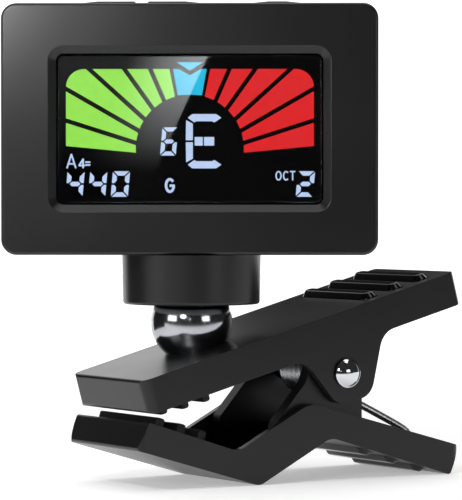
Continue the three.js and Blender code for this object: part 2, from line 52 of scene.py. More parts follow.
# Axes. The ball joint and the hinge pin give the places, and each group of pieces is made
# in millimetres in axes of its own: the head's, the upper jaw's and the lower jaw's.
ball = Vector(joints["tilt_fore_aft"]["pos_m"])
pin = Vector(joints["jaw_hinge"]["pos_m"])
head_back = Vector(joints["battery_cap_turn"]["axis"])
jaw_rise = radians(15.3)
ball_height = 24.0
ball_lift = 3.8


def axes(origin, along, across):
    """Turns millimetres in a group's own axes into metres in the frame."""
    turn = Matrix((along, across, along.cross(across))).transposed().to_4x4()
    return Matrix.Translation(origin) @ turn @ Matrix.Scale(0.001, 4)


right, deep = Vector((1, 0, 0)), Vector((0, 1, 0))
slope = Vector((cos(jaw_rise), 0, sin(jaw_rise)))
down_stem = Vector((sin(jaw_rise), 0, -cos(jaw_rise)))
head_axes = axes(ball, head_back.cross(Vector((0, 0, 1))), head_back)
upper_axes = axes(ball + down_stem * ball_lift * 0.001, slope, deep)
lower_axes = axes(ball - Vector((0, 0, ball_height * 0.001)), right, deep)
pin_axes = axes(pin, right, deep)

# Camera. A long lens a little above the ball, square to the display within a degree.
lens_angle = bpy.data.cameras.new("camera")
lens_angle.lens = 213.7
lens_angle.sensor_width = 36
camera = bpy.data.objects.new("camera", lens_angle)
camera.location = ball + Vector((-0.2332, -0.3845, 0.0189))
camera.rotation_euler = (radians(90 - 1.02), 0, radians(-32))
bpy.context.scene.collection.objects.link(camera)
bpy.context.scene.camera = camera


# Studio. A floor with painted light and a room that is white behind the tuner and grey before it,
# so that the black plastic keeps its depth and the edges catch the light. The floor is pale and glows
# though it is no lamp, more away from the ball; towards the camera it is painted dark, as painted shade.
def linear(colour):
    """An sRGB hex colour as linear RGBA."""
    parts = [int(colour[k : k + 2], 16) / 255 for k in (1, 3, 5)]
    return [c / 12.92 if c <= 0.04045 else ((c + 0.055) / 1.055) ** 2.4 for c in parts] + [1]


def add(owner, kind, sockets=None, **settings):
    """Adds a node with its settings; a socket is given a value, or an output to link."""
    node = owner.node_tree.nodes.new(kind)
    for name, value in settings.items():
        setattr(node, name, value)
    for name, value in (sockets or {}).items():
        if isinstance(value, bpy.types.NodeSocket):
            owner.node_tree.links.new(value, node.inputs[name])
        else:
            node.inputs[name].default_value = value
    return node


def new_material(name):
    material = bpy.data.materials.new(name)
    material.use_nodes = True
    material.node_tree.nodes.clear()
    return material


bpy.context.scene.view_settings.view_transform = "Standard"
room = bpy.data.worlds.new("room")
room.use_nodes = True
room.node_tree.nodes.clear()
view = Vector((sin(radians(32)), cos(radians(32)), 0))
facing = add(room, "ShaderNodeTexCoord").outputs["Generated"]
toward = add(room, "ShaderNodeVectorMath", {0: facing, 1: view}, operation="DOT_PRODUCT")
wall = add(room, "ShaderNodeMapRange", {"Value": toward.outputs["Value"], "From Min": 0.48, "From Max": 0.93,
                                        "To Min": 0.03, "To Max": 1.45}, interpolation_type="SMOOTHSTEP")
glow = add(room, "ShaderNodeBackground", {"Color": linear("#FFFFFF"), "Strength": wall.outputs["Result"]})
add(room, "ShaderNodeOutputWorld", {"Surface": glow.outputs["Background"]})
bpy.context.scene.world = room

floor_radius = 1.2
floor_mesh = bpy.data.meshes.new("floor")
disc = bmesh.new()
bmesh.ops.create_circle(disc, cap_ends=True, segments=64, radius=floor_radius)
disc.to_mesh(floor_mesh)
disc.free()
floor = bpy.data.objects.new("floor", floor_mesh)
floor.location = (ball.x, ball.y, 0)
bpy.context.scene.collection.objects.link(floor)
# The floor's material paints its light: a glow that lights the tuner from below, and painted shade towards the camera.
painted_light_floor = new_material("floor_with_painted_glow_and_shade")
place = add(painted_light_floor, "ShaderNodeTexCoord").outputs["Object"]
# Painted light: the floor glows, from 0.38 near the ball to 0.9 half a metre away.
distance = add(painted_light_floor, "ShaderNodeVectorMath", {0: place}, operation="LENGTH")
glow = add(painted_light_floor, "ShaderNodeMapRange", {"Value": distance.outputs["Value"], "From Min": 0.1, "From Max": 0.5,
                                         "To Min": 0.38, "To Max": 0.9}, interpolation_type="SMOOTHSTEP")
# Painted shade: towards the camera the floor turns dark grey and its glow is nearly cut away.
ahead = add(painted_light_floor, "ShaderNodeVectorMath", {0: place, 1: view}, operation="DOT_PRODUCT")
shade = add(painted_light_floor, "ShaderNodeMapRange", {"Value": ahead.outputs["Value"], "From Min": -0.2, "From Max": -0.06,
                                          "To Min": 0.03, "To Max": 1.0}, interpolation_type="SMOOTHSTEP")
glow = add(painted_light_floor, "ShaderNodeMath", {0: glow.outputs["Result"], 1: shade.outputs["Result"]}, operation="MULTIPLY")
tone = add(painted_light_floor, "ShaderNodeMix", {"Factor": shade.outputs["Result"], 6: linear("#3A3A3A"), 7: linear("#F2F2F2")},
           data_type="RGBA")
sheet = add(painted_light_floor, "ShaderNodeBsdfPrincipled", {"Base Color": tone.outputs[2], "Roughness": 0.9,
                                                "Specular IOR Level": 0.1, "Emission Color": linear("#FFFFFF"),
                                                "Emission Strength": glow.outputs["Value"]})
add(painted_light_floor, "ShaderNodeOutputMaterial", {"Surface": sheet.outputs["BSDF"]})
floor_mesh.materials.append(painted_light_floor)


def softbox(name, at, aim, width, height, watts):
    """A rectangular lamp that lights and reflects, but doesn't stand in the picture."""
    lamp = bpy.data.lights.new(name, "AREA")
    lamp.shape = "RECTANGLE"
    lamp.size, lamp.size_y, lamp.energy = width, height, watts
    holder = bpy.data.objects.new(name, lamp)
    holder.location = at
    holder.rotation_euler = (Vector(aim) - Vector(at)).to_track_quat("-Z", "Y").to_euler()
    holder.visible_camera = False
    bpy.context.scene.collection.objects.link(holder)
    return holder


head_middle = head_axes @ Vector((0, -10, 29))
softbox("overhead", ball + Vector((0.05, 0.1, 0.75)), ball, 0.9, 0.9, 4.2)
softbox("left_box", head_axes @ Vector((-340, -240, 75)), ball, 0.2, 0.1, 0.19)
softbox("right_box", head_axes @ Vector((290, -310, 75)), ball, 0.16, 0.1, 0.15)
softbox("near_box", head_axes @ Vector((-120, -300, 115)), head_middle, 0.07, 0.07, 0.2)
softbox("corner_box", head_axes @ Vector((-48, -80, 62)), head_axes @ Vector((-24, -10, 44)), 0.024, 0.02, 0.05)


def card(name, corners, strength):
    """A flat card given by corners in the head's axes, seen only in the tuner's shine."""
    mesh = bpy.data.meshes.new(name)
    mesh.from_pydata(corners, [], [tuple(range(len(corners)))])
    piece = bpy.data.objects.new(name, mesh)
    piece.matrix_world = head_axes
    piece.visible_camera = piece.visible_diffuse = piece.visible_shadow = False
    bpy.context.scene.collection.objects.link(piece)
    surface = new_material(name + "_face")
    spot = add(surface, "ShaderNodeTexCoord").outputs["Object"]
    value = None
    for aim, near, far, first, last in strength:
        reach = add(surface, "ShaderNodeVectorMath", {0: spot, 1: aim}, operation="DOT_PRODUCT")
        ramp = add(surface, "ShaderNodeMapRange", {"Value": reach.outputs["Value"], "From Min": near, "From Max": far,
                                                   "To Min": first, "To Max": last}, interpolation_type="SMOOTHSTEP")
        value = ramp.outputs["Result"] if value is None else add(
            surface, "ShaderNodeMath", {0: value, 1: ramp.outputs["Result"]}, operation="MULTIPLY").outputs["Value"]
    light = add(surface, "ShaderNodeEmission", {"Strength": value})
    add(surface, "ShaderNodeOutputMaterial", {"Surface": light.outputs["Emission"]})
    mesh.materials.append(surface)


# The window's reflection in the lens: a bright card before the head, off to the left, whose
# slanted edge falls across the display. It fades to the left and towards the floor. Black
# cards behind and to the left of the clip keep the upper handle and the jaws' tips dark.
card("window_card", [(-60, -308.8, 10), (-25.1, -308.8, 10), (-2.2, -308.8, 60), (-60, -308.8, 60)],
     [((-0.909, 0, 0.4165), 27, 46, 1.0, 0.06), ((0, 0, 1), 24, 57, 0.04, 4.2)])
for name, (x1, y1, z1), (x2, y2, z2) in (("black_flag_behind", (62, 120, 10), (140, 120, 100)),
                                         ("black_flag_left", (-122, 46, -22), (-28, 104, 60))):
    spots = [(x1, y1, z1), (x2, y2, z1), (x2, y2, z2), (x1, y1, z2)]
    flag = [head_axes.inverted() @ (ball + Vector(spot) * 0.001) for spot in spots]
    card(name, flag, [((0, 0, 1), 0, 100, 0.02, 0.02)])


# Front shell. Black ABS moulded with a fine spark-eroded grain, open at the back, with a
# chamfered window for the lens and three slots in its top wall for the buttons.
def outline(corners, inset=0.0, steps=8):
    """A closed outline through (x, y, radius) corners, each an arc, all moved inwards by inset."""
    spots = [Vector(corner[:2]) for corner in corners]
    area = sum(a.x * b.y - a.y * b.x for a, b in zip(spots, spots[1:] + spots[:1]))
    points = []
    for k, here in enumerate(spots):
        a = (spots[k - 1] - here).normalized()
        b = (spots[(k + 1) % len(spots)] - here).normalized()
        half = acos(max(-1, min(1, a.dot(b)))) / 2
        middle = (a + b).normalized()
        convex = (b.x * a.y - b.y * a.x) * area > 0
        given = corners[k][2]
        radius = given - inset if convex else given + inset
        centre = here + middle * (max(given, inset) if convex else given) / sin(half)
        from_a = a / tan(half) - middle / sin(half)
        from_b = b / tan(half) - middle / sin(half)
        start = atan2(from_a.y, from_a.x)
        sweep = (atan2(from_b.y, from_b.x) - start + pi) % (2 * pi) - pi
        for step in range(steps + 1):
            angle = start + sweep * step / steps
            points.append(centre + max(radius, 0) * Vector((cos(angle), sin(angle))))
    return points


def box(width, height, radius, x=0.0, y=0.0):
    """Corners of a rectangle with round corners about (x, y)."""
    w, h = width / 2, height / 2
    return [(x - w, y - h, radius), (x + w, y - h, radius), (x + w, y + h, radius), (x - w, y + h, radius)]


def loft(name, rings, along="y"):
    """A closed solid through outlines at heights along one axis, in millimetres."""
    made = bmesh.new()
    loops = []
    for shape, height in rings:
        spots = [(u, height, v) if along == "y" else (u, v, height) for u, v in shape]
        loops.append([made.verts.new(spot) for spot in spots])
    for below, above in zip(loops, loops[1:]):
        for k in range(len(below)):
            n = (k + 1) % len(below)
            made.faces.new((below[k], below[n], above[n], above[k]))
    made.faces.new(loops[0])
    made.faces.new(loops[-1])
    return keep(name, made)


def keep(name, made):
    """Turns a bmesh into an object of that name."""
    bmesh.ops.remove_doubles(made, verts=made.verts, dist=1e-4)
    bmesh.ops.recalc_face_normals(made, faces=made.faces)
    mesh = bpy.data.meshes.new(name)
    made.to_mesh(mesh)
    made.free()
    piece = bpy.data.objects.new(name, mesh)
    bpy.context.scene.collection.objects.link(piece)
    return piece


def rounded(corners, low, high, low_edge=0.0, high_edge=0.0, steps=5):
    """Rings of a block along one axis whose end edges are rounded by the radii given."""
    quarter = [k / steps * pi / 2 for k in range(steps + 1)]
    lower = [(low_edge * (1 - sin(a)), low + low_edge * (1 - cos(a))) for a in quarter]
    upper = [(high_edge * (1 - sin(a)), high - high_edge * (1 - cos(a))) for a in reversed(quarter)]
    rings = (lower if low_edge else [(0, low)]) + (upper if high_edge else [(0, high)])
    return [(outline(corners, inset), height) for inset, height in rings]


def turned(name, profile, steps=72):
    """A turned solid about Z from (radius, height) pairs, from axis to axis or round a ring."""
    made = bmesh.new()
    loops = []
    for radius, height in profile:
        count = 1 if radius < 1e-6 else steps
        angles = [2 * pi * k / steps for k in range(count)]
        loops.append([made.verts.new((radius * cos(a), radius * sin(a), height)) for a in angles])
    pairs = list(zip(loops, loops[1:]))
    if len(loops[0]) > 1:
        pairs.append((loops[-1], loops[0]))
    for below, above in pairs:
        for k in range(steps if max(len(below), len(above)) > 1 else 0):
            n = (k + 1) % steps
            corner = [below[k % len(below)], below[n % len(below)], above[n % len(above)], above[k % len(above)]]
            made.faces.new(list(dict.fromkeys(corner)))
    return keep(name, made)


def arc(radius, start, end, steps, height=0.0, x=0.0):
    """Profile points on a circle about (x, height), angles in radians."""
    angles = [start + (end - start) * k / steps for k in range(steps + 1)]
    return [(max(x + radius * cos(a), 0), height + radius * sin(a)) for a in angles]


def settle(piece):
    """Puts the result of a piece's modifiers in its mesh."""
    graph = bpy.context.evaluated_depsgraph_get()
    mesh = bpy.data.meshes.new_from_object(piece.evaluated_get(graph))
    piece.modifiers.clear()
    piece.data = mesh


def work(piece, tools, operation="DIFFERENCE"):
    """Cuts, joins or trims a piece by each tool in turn, and takes the tools away."""
    for tool in tools:
        step = piece.modifiers.new("work", "BOOLEAN")
        step.operation, step.object, step.solver = operation, tool, "EXACT"
    settle(piece)
    for tool in tools:
        bpy.data.objects.remove(tool)
    return piece


def turn(piece, angle, axis, centre=(0, 0, 0)):
    """Turns a mesh by degrees about an axis through a point."""
    about = Vector(centre)
    spin = Matrix.Translation(about) @ Matrix.Rotation(radians(angle), 4, axis) @ Matrix.Translation(-about)
    piece.data.transform(spin)
    return piece


def show(piece, group, body, material, nodes=(), edge=0.0, crease=38):
    """Rounds a piece's sharp edges, sets it in the frame, and gives it to its body."""
    if edge:
        made = bmesh.new()
        made.from_mesh(piece.data)
        bmesh.ops.dissolve_limit(made, angle_limit=radians(0.4), verts=made.verts, edges=made.edges)
        made.to_mesh(piece.data)
        made.free()
        bevel = piece.modifiers.new("edges", "BEVEL")
        bevel.width, bevel.segments = edge, 3
        bevel.limit_method, bevel.angle_limit = "ANGLE", radians(crease)
        settle(piece)
    piece.data.shade_smooth()
    piece.data.set_sharp_from_angle(angle=radians(crease))
    weighted = piece.modifiers.new("normals", "WEIGHTED_NORMAL")
    weighted.keep_sharp = True
    settle(piece)
    piece.data.transform(group)
    piece.data.materials.clear()
    piece.data.materials.append(material)
    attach(piece, body)
    if nodes:
        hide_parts(*nodes)
    return piece


def grained(name, colour, roughness, grain, depth, shade=0.12, gleam=0.5):
    """Moulded plastic or rubber: a grain of that size in mm stands up by depth in mm."""
    material = new_material(name)
    spot = add(material, "ShaderNodeTexCoord").outputs["Object"]
    pits = add(material, "ShaderNodeTexNoise", {"Vector": spot, "Scale": 1000 / grain, "Detail": 3.0,
                                                "Roughness": 0.6})
    broad = add(material, "ShaderNodeTexNoise", {"Vector": spot, "Scale": 60.0, "Detail": 2.0})
    dark, light = linear(colour), linear(colour)
    tint = add(material, "ShaderNodeMix", {"Factor": broad.outputs["Fac"], 6: [c * (1 - shade) for c in dark[:3]] + [1],
                                           7: [c * (1 + shade) for c in light[:3]] + [1]}, data_type="RGBA")
    rough = add(material, "ShaderNodeMapRange", {"Value": broad.outputs["Fac"], "To Min": roughness - 0.05,
                                                 "To Max": roughness + 0.05})
    bump = add(material, "ShaderNodeBump", {"Height": pits.outputs["Fac"], "Distance": depth * 0.001,
                                            "Strength": 0.6})
    shader = add(material, "ShaderNodeBsdfPrincipled", {"Base Color": tint.outputs[2], "IOR": 1.5,
                                                        "Roughness": rough.outputs["Result"],
                                                        "Specular IOR Level": gleam,
                                                        "Normal": bump.outputs["Normal"]})
    add(material, "ShaderNodeOutputMaterial", {"Surface": shader.outputs["BSDF"]})
    return material


# Spark-eroded ABS: a fine, even matt grain about a fifth of a millimetre wide.
shell_plastic = grained("spark_eroded_abs", "#131314", 0.32, 0.2, 0.008)
head_width, head_height, head_corner = 56.0, 37.4, 2.3
head_front, head_split, head_rear = -9.8, -1.6, 3.2
head_bottom = 10.3
head_top = head_bottom + head_height
head_mid = head_bottom + head_height / 2
wall = 1.6
seam = 0.12
gap = 0.3
face_edge = 0.5
window_width, window_height, window_corner = 39.7, 22.4, 1.1
window_chamfer, window_depth = 1.15, 1.0
button_front, button_back, button_width = -6.6, -3.6, 8.6
button_places = (-12.5, -2.0, 13.0)

head_plan = box(head_width, head_height, head_corner, 0, head_mid)
inner_plan = box(head_width - 2 * wall, head_height - 2 * wall, 1, 0, head_mid)
window_plan = box(window_width, window_height, window_corner, 0, head_mid)


def spigot_hole():
    """The round hole in the head's floor that the socket cup's neck goes through."""
    return turned("hole", [(0, head_bottom - 2), (5.4, head_bottom - 2), (5.4, head_bottom + 3), (0, head_bottom + 3)])


front = loft("front_bezel_shell", rounded(head_plan, head_front, head_split, low_edge=face_edge))
chamfer_rings = [(outline(window_plan, -2 * window_chamfer), head_front - window_depth),
                 (outline(window_plan), head_front + window_depth)]
slots = [loft("slot", rounded(box(button_width + gap, 6, 0.6, x, head_top), button_front - gap / 2,
                              button_back + gap / 2)) for x in button_places]
work(front, [loft("cavity", rounded(inner_plan, head_front + 1.9, 0)),
             loft("window", rounded(window_plan, head_front - 2, 0)),
             loft("chamfer", chamfer_rings), spigot_hole(), *slots])
show(front, head_axes, "head", shell_plastic, ["front_bezel"], edge=0.1)

# Rear shell. The same ABS, with a soft-cornered hump over the coin cell, a round mouth for
# the battery cap and a counterbored hole for each of the four case screws.
hump_plan = box(30, 33, 4, 0, 26.8)
hump_back = 10.2
cap_radius, cap_height = 12.0, 27.5
screw_places = [(x, head_mid + z) for x in (-24.1, 24.1) for z in (-14.8, 14.8)]


def round_plan(radius, x, y):
    """Corners of a circle, as a square rounded all the way."""
    return box(2 * radius, 2 * radius, radius, x, y)


def lugs(inner, outer, middle, spread, low, high):
    """Three pieces of a ring about the battery cap, as lugs or as the keyways for them."""
    made = []
    for k in range(3):
        angle = middle + k * 2 * pi / 3
        ring = [Vector((outer * cos(a), cap_height + outer * sin(a)))
                for a in (angle - spread + spread / 3 * n for n in range(7))]
        ring += [Vector((inner * cos(a), cap_height + inner * sin(a)))
                 for a in (angle + spread - spread / 3 * n for n in range(7))]
        made.append(loft("lug", [(ring, low), (ring, high)]))
    return made


rear = loft("rear_cover_shell", rounded(head_plan, head_split + seam, head_rear, high_edge=face_edge))
work(rear, [loft("hump", rounded(hump_plan, head_rear - 1, hump_back, high_edge=0.9))], "UNION")
screw_holes = [loft("bore", rounded(round_plan(1.9, x, z), head_rear - 1.1, head_rear + 2)) for x, z in screw_places]
work(rear, [loft("cavity", rounded(inner_plan, head_split - 1, head_rear - wall)),
            loft("bay", rounded(box(30 - 2 * wall, 33 - 2 * wall, 2.5, 0, 26.8), head_split - 1, hump_back - wall)),
            loft("mouth", rounded(round_plan(cap_radius + gap, 0, cap_height), hump_back - 4, hump_back + 2)),
            *lugs(cap_radius - 1, cap_radius + 1.2, pi / 3, 0.18, hump_back - 4, hump_back + 2),
            spigot_hole(), *screw_holes])
show(rear, head_axes, "head", shell_plastic, ["rear_cover"], edge=0.12)

# Battery cap. A turned-looking ABS disc with a coin slot, a shallow ring and three lugs
# behind it that lock under the rear shell when it is turned by a sixth of a turn.
cap = loft("battery_cap_disc", rounded(round_plan(cap_radius, 0, cap_height), hump_back - 1.5, hump_back,
                                       high_edge=0.35))
skirt = loft("skirt", rounded(round_plan(cap_radius - 0.4, 0, cap_height), hump_back - 3.2, hump_back - 1.4))
work(skirt, [loft("bore", rounded(round_plan(cap_radius - 1.6, 0, cap_height), hump_back - 5, hump_back - 1.5))])
work(cap, [skirt, *lugs(cap_radius - 1, cap_radius + 0.9, 0, 0.15, hump_back - 3.2, hump_back - 2.1)], "UNION")
ring = loft("ring", rounded(round_plan(cap_radius - 1.6, 0, cap_height), hump_back - 0.25, hump_back + 1))
work(ring, [loft("core", rounded(round_plan(cap_radius - 2.2, 0, cap_height), hump_back - 1, hump_back + 2))])
work(cap, [loft("slot", rounded(box(13, 1.6, 0.7, 0, cap_height), hump_back - 0.7, hump_back + 1)), ring])
show(cap, head_axes, "cell_cap", shell_plastic, ["battery_cap"], edge=0.08)

# Case screws. Zinc-plated self-tapping screws with pan heads and cross recesses.
def polished(name, colour, roughness, scratch, brushed=1.0):
    """Bare or plated metal with fine wipe marks; scratch is their width in mm, and brushed draws them out."""
    material = new_material(name)
    spot = add(material, "ShaderNodeTexCoord").outputs["Object"]
    pull = add(material, "ShaderNodeMapping", {"Vector": spot, "Scale": (1, 1, brushed)})
    marks = add(material, "ShaderNodeTexNoise", {"Vector": pull.outputs["Vector"], "Scale": 1000 / scratch,
                                                 "Detail": 4.0})
    rough = add(material, "ShaderNodeMapRange", {"Value": marks.outputs["Fac"], "From Min": 0.3, "From Max": 0.7,
                                                 "To Min": roughness * 0.7, "To Max": roughness * 1.3})
    tint = add(material, "ShaderNodeMix", {"Factor": marks.outputs["Fac"], 6: linear(colour),
                                           7: [c * 0.9 for c in linear(colour)[:3]] + [1]}, data_type="RGBA")
    bump = add(material, "ShaderNodeBump", {"Height": marks.outputs["Fac"], "Distance": 0.000004, "Strength": 0.3})
    shader = add(material, "ShaderNodeBsdfPrincipled", {"Base Color": tint.outputs[2], "Metallic": 1.0,
                                                        "Roughness": rough.outputs["Result"],
                                                        "Normal": bump.outputs["Normal"]})
    add(material, "ShaderNodeOutputMaterial", {"Surface": shader.outputs["BSDF"]})
    return material


# Zinc plate: a grey, slightly blue metal with a soft shine.
zinc_plate = polished("zinc_plated_steel", "#A9ADB3", 0.3, 0.3)
for number, (x, z) in enumerate(screw_places, 1):
    back = head_rear - 0.25
    screw = loft(f"case_screw_{number}_pan_head", rounded(round_plan(1.6, x, z), back - 0.8, back, high_edge=0.3))
    shank = loft("shank", rounded(round_plan(0.75, x, z), head_front + 3, back - 0.7))
    work(screw, [shank], "UNION")
    work(screw, [loft("bar", rounded(box(2, 0.45, 0, x, z), back - 0.5, back + 1)),
                 loft("bar", rounded(box(0.45, 2, 0, x, z), back - 0.5, back + 1))])
    show(screw, head_axes, "head", zinc_plate, [f"case_screw_{number}"], edge=0.04)

# Buttons. Three ABS keys that stand a little above the head's top wall, with sloped ends
# and a crowned top; a flange under each keeps it in, and a switch pushes it back up.
button_proud, button_crown, button_slope = 0.42, 0.3, 3.0
floor_of_wall = head_top - wall - gap
for side, x, slopes in zip(("left", "middle", "right"), button_places, ((1, 0), (0, 1), (1, 1))):
    w, top = button_width / 2, head_top + button_proud
    shape = [(x - w, floor_of_wall, 0.1), (x + w, floor_of_wall, 0.1)]
    shape += [(x + w, top - button_crown, 0.1), (x + w - button_slope, top, 2)] if slopes[1] else [(x + w, top, 0.15)]
    shape += [(x - w + button_slope, top, 2), (x - w, top - button_crown, 0.1)] if slopes[0] else [(x - w, top, 0.15)]
    key = loft(f"button_{side}_key", rounded(shape, button_front, button_back, 0.3, 0.3))
    flange = loft("flange", rounded(box(button_width + 1, 0.6, 0.1, x, floor_of_wall - 0.25),
                                    button_front - 0.4, button_back + 0.2))
    work(key, [flange], "UNION")
    show(key, head_axes, f"key_{side}", shell_plastic, [f"button_{side}"], edge=0.05)

# Lens. A clear acrylic window, die-cut and polished, glued into the front shell's recess.
# Polished acrylic: clear, with a mirror-like face that keeps the edge of a reflection sharp.
clear_acrylic = new_material("polished_acrylic")
spot = add(clear_acrylic, "ShaderNodeTexCoord").outputs["Object"]
smear = add(clear_acrylic, "ShaderNodeTexNoise", {"Vector": spot, "Scale": 90.0, "Detail": 3.0})
rough = add(clear_acrylic, "ShaderNodeMapRange", {"Value": smear.outputs["Fac"], "To Min": 0.0, "To Max": 0.03})
glass = add(clear_acrylic, "ShaderNodeBsdfPrincipled", {"Base Color": linear("#F4F6FA"), "IOR": 1.49,
                                                        "Roughness": rough.outputs["Result"],
                                                        "Transmission Weight": 1.0})
add(clear_acrylic, "ShaderNodeOutputMaterial", {"Surface": glass.outputs["BSDF"]})
lens_front = head_front + 1
lens_plan = box(window_width - 2 * gap, window_height - 2 * gap, window_corner - 0.2, 0, head_mid)
lens = loft("screen_lens_window", rounded(lens_plan, lens_front, lens_front + 1.1, 0.1, 0.05, 3))
show(lens, head_axes, "head", clear_acrylic, ["screen_lens"])

# Display. A negative liquid-crystal panel: black where it is off, lit from behind where a
# segment is on. Each lit segment is a thin plate on the panel's face, in its filter's colour.
black_film = grained("black_polariser_film", "#010102", 0.5, 0.1, 0.002, gleam=0.03)
panel_front = head_front + 2.4
panel = loft("lcd_panel_glass", rounded(box(43, 25.4, 0.4, 0, head_mid), panel_front, panel_front + 2, 0.1, 0.1, 2))
show(panel, head_axes, "head", black_film, ["lcd_panel"])


def lit(name, colour, strength):
    """A lit segment: even light through a colour filter, with the faint mottle of the film behind."""
    material = new_material(name)
    spot = add(material, "ShaderNodeTexCoord").outputs["Object"]
    mottle = add(material, "ShaderNodeTexNoise", {"Vector": spot, "Scale": 900.0, "Detail": 2.0})
    tone = add(material, "ShaderNodeMix", {"Factor": mottle.outputs["Fac"], 6: linear(colour),
                                           7: [c * 0.86 for c in linear(colour)[:3]] + [1]}, data_type="RGBA")
    shader = add(material, "ShaderNodeBsdfPrincipled", {"Base Color": linear("#101012"), "Roughness": 0.4,
                                                        "Emission Color": tone.outputs[2],
                                                        "Emission Strength": strength})
    add(material, "ShaderNodeOutputMaterial", {"Surface": shader.outputs["BSDF"]})
    return material


lit_green = lit("green_filter_film", "#9CEE4F", 1.1)
lit_red = lit("red_filter_film", "#EA1B1F", 1.1)
lit_cyan = lit("cyan_filter_film", "#16C2E6", 1.1)
lit_white = lit("white_segment_film", "#C6DAFA", 1.1)
film = 0.05


def segments(name, shapes, material):
    """Thin plates on the panel's face, one for each flat outline given about the head's middle."""
    made = bmesh.new()
    for shape in shapes:
        rims = []
        for depth in (panel_front - film, panel_front - 0.005):
            rims.append([made.verts.new((x, depth, head_mid + z - 0.09)) for x, z in shape])
        made.faces.new(rims[0])
        made.faces.new(list(reversed(rims[1])))
        for k in range(len(shape)):
            n = (k + 1) % len(shape)
            made.faces.new((rims[0][k], rims[0][n], rims[1][n], rims[1][k]))
    bmesh.ops.recalc_face_normals(made, faces=made.faces)
    mesh = bpy.data.meshes.new(name)
    made.to_mesh(mesh)
    made.free()
    piece = bpy.data.objects.new(name, mesh)
    bpy.context.scene.collection.objects.link(piece)
    return show(piece, head_axes, "head", material)


# The gauge is a fan of blades about a hub low on the panel, cut off by a round-cornered
# frame outside and by an arc inside; green is flat of the note and red is sharp of it.
fan_hub = -4.5
fan_pitch = 12.2
fan_gap = 0.66
fan_side, fan_top, fan_corner = 18.45, 9.05, 2.7
arc_height, arc_radius = -2.8, 8.05


def blade(start, end, mirror):
    """One blade of the fan between two angles in degrees up from the side."""
    outer, inner = [], []
    for step in range(9):
        share = step / 8
        angle = radians(start + (end - start) * share)
        aim = Vector((cos(angle), sin(angle)))
        foot = Vector((0, fan_hub)) + Vector((-aim.y, aim.x)) * fan_gap / 2 * (1 - 2 * share)
        reach = min((fan_side - foot.x) / max(aim.x, 1e-6), (fan_top - foot.y) / aim.y)
        far = foot + aim * reach
        corner = Vector((fan_side - fan_corner, fan_top - fan_corner))
        if far.x > corner.x and far.y > corner.y:
            far = foot + aim * onto_circle(foot, aim, corner, fan_corner)
        outer.append((far.x * mirror, far.y))
        near = foot + aim * onto_circle(foot, aim, Vector((0, arc_height)), arc_radius)
        inner.append((near.x * mirror, near.y))
    return outer + inner[::-1]


def onto_circle(foot, aim, centre, radius):
    """How far along a line its last crossing of a circle is."""
    along = (centre - foot).dot(aim)
    aside = (centre - foot - aim * along).length
    return along + max(radius * radius - aside * aside, 0) ** 0.5


blades = [(78.7 - fan_pitch * (k + 1), 78.7 - fan_pitch * k) for k in range(6)]
segments("gauge_flat_blades", [blade(a, b, -1) for a, b in blades], lit_green)
segments("gauge_sharp_blades", [blade(a, b, 1) for a, b in blades], lit_red)
segments("gauge_in_tune_mark", [
    [(-2.5, fan_top), (-1.65, fan_top), (0, 8.1), (1.65, fan_top), (2.5, fan_top), (1.8, 5.15), (0, 5.25), (-1.8, 5.15)],
    [(-1.95, 10.05), (1.95, 10.05), (0, 8.8)],
], lit_cyan)

# Readings, in the plain bar segments that such panels use: the note, its string number,
# the pitch that A is set to, and the octave.
bars_of = {"0": "abcdef", "2": "abged", "4": "bcfg", "6": "acdefg"}


def digit(which, x, z, width, height, stroke, lean=0.09, space=0.14):
    """Bar segments of one digit whose foot is at (x, z), with mitred ends and a slight lean."""
    s, half, g = stroke, height / 2, space
    flat_top = [(g, height), (width - g, height), (width - g - s, height - s), (g + s, height - s)]
    flat_mid = [(g + s / 2, half), (g + s, half + s / 2), (width - g - s, half + s / 2), (width - g - s / 2, half),
                (width - g - s, half - s / 2), (g + s, half - s / 2)]
    left_up = [(0, height - g), (s, height - g - s), (s, half + g + s / 2), (s / 2, half + g), (0, half + g)]
    shapes = {
        "a": flat_top, "g": flat_mid, "d": [(u, height - v) for u, v in flat_top], "f": left_up,
        "b": [(width - u, v) for u, v in left_up], "e": [(u, height - v) for u, v in left_up],
        "c": [(width - u, height - v) for u, v in left_up],
    }
    return [[(x + u + lean * v, z + v) for u, v in shapes[bar]] for bar in bars_of[which]]


def strokes(lines, width):
    """Plain line lettering: each line of points becomes a bent strip of that width."""
    made = []
    for line in lines:
        for start, end in zip(line, line[1:]):
            a, b = Vector(start), Vector(end)
            aim = (b - a).normalized() * width / 2
            side = Vector((-aim.y, aim.x))
            tip = aim * 0.6
            made.append([tuple(a - tip + side), tuple(b + tip + side), tuple(b + tip - side), tuple(a - tip - side)])
    return made


def bend(x, z, wide, high, start, end, steps=14):
    """Points on part of an oval, in degrees."""
    angles = [radians(start + (end - start) * k / steps) for k in range(steps + 1)]
    return [(x + wide / 2 * cos(a), z + high / 2 * sin(a)) for a in angles]


note_bar = [(-0.3, 1.8), (0.35, 2.35), (3.9, 2.35), (4.7, 1.8), (3.65, 1.1), (3.3, 1.28), (1.0, 1.28), (0.65, 1.1)]
note_side = [(-0.55, 1.45), (0.45, 0.9), (0.45, -1.54), (-0.6, -1.54)]
middle = -1.69
segments("note_letter", [
    note_bar, [(x, 2 * middle - z) for x, z in note_bar], note_side, [(x, 2 * middle - z) for x, z in note_side],
    [(0.72, -1.06), (1.92, -1.06), (1.92, -2.34), (0.72, -2.34)],
    [(2.1, -1.06), (3.62, -1.06), (3.62, -2.34), (2.1, -2.34)],
], lit_white)
reading_foot, reading_height = -9.95, 3.8
segments("string_number", digit("6", -4.45, -3.82, 2.35, 4.2, 0.62), lit_white)
pitch_digits = [digit(which, -18.55 + 3.38 * k, reading_foot, 2.55, reading_height, 0.66)
                for k, which in enumerate("440")]
segments("pitch_number", sum(pitch_digits, []), lit_white)
segments("octave_number", digit("2", 15.75, reading_foot, 2.55, reading_height, 0.66), lit_white)
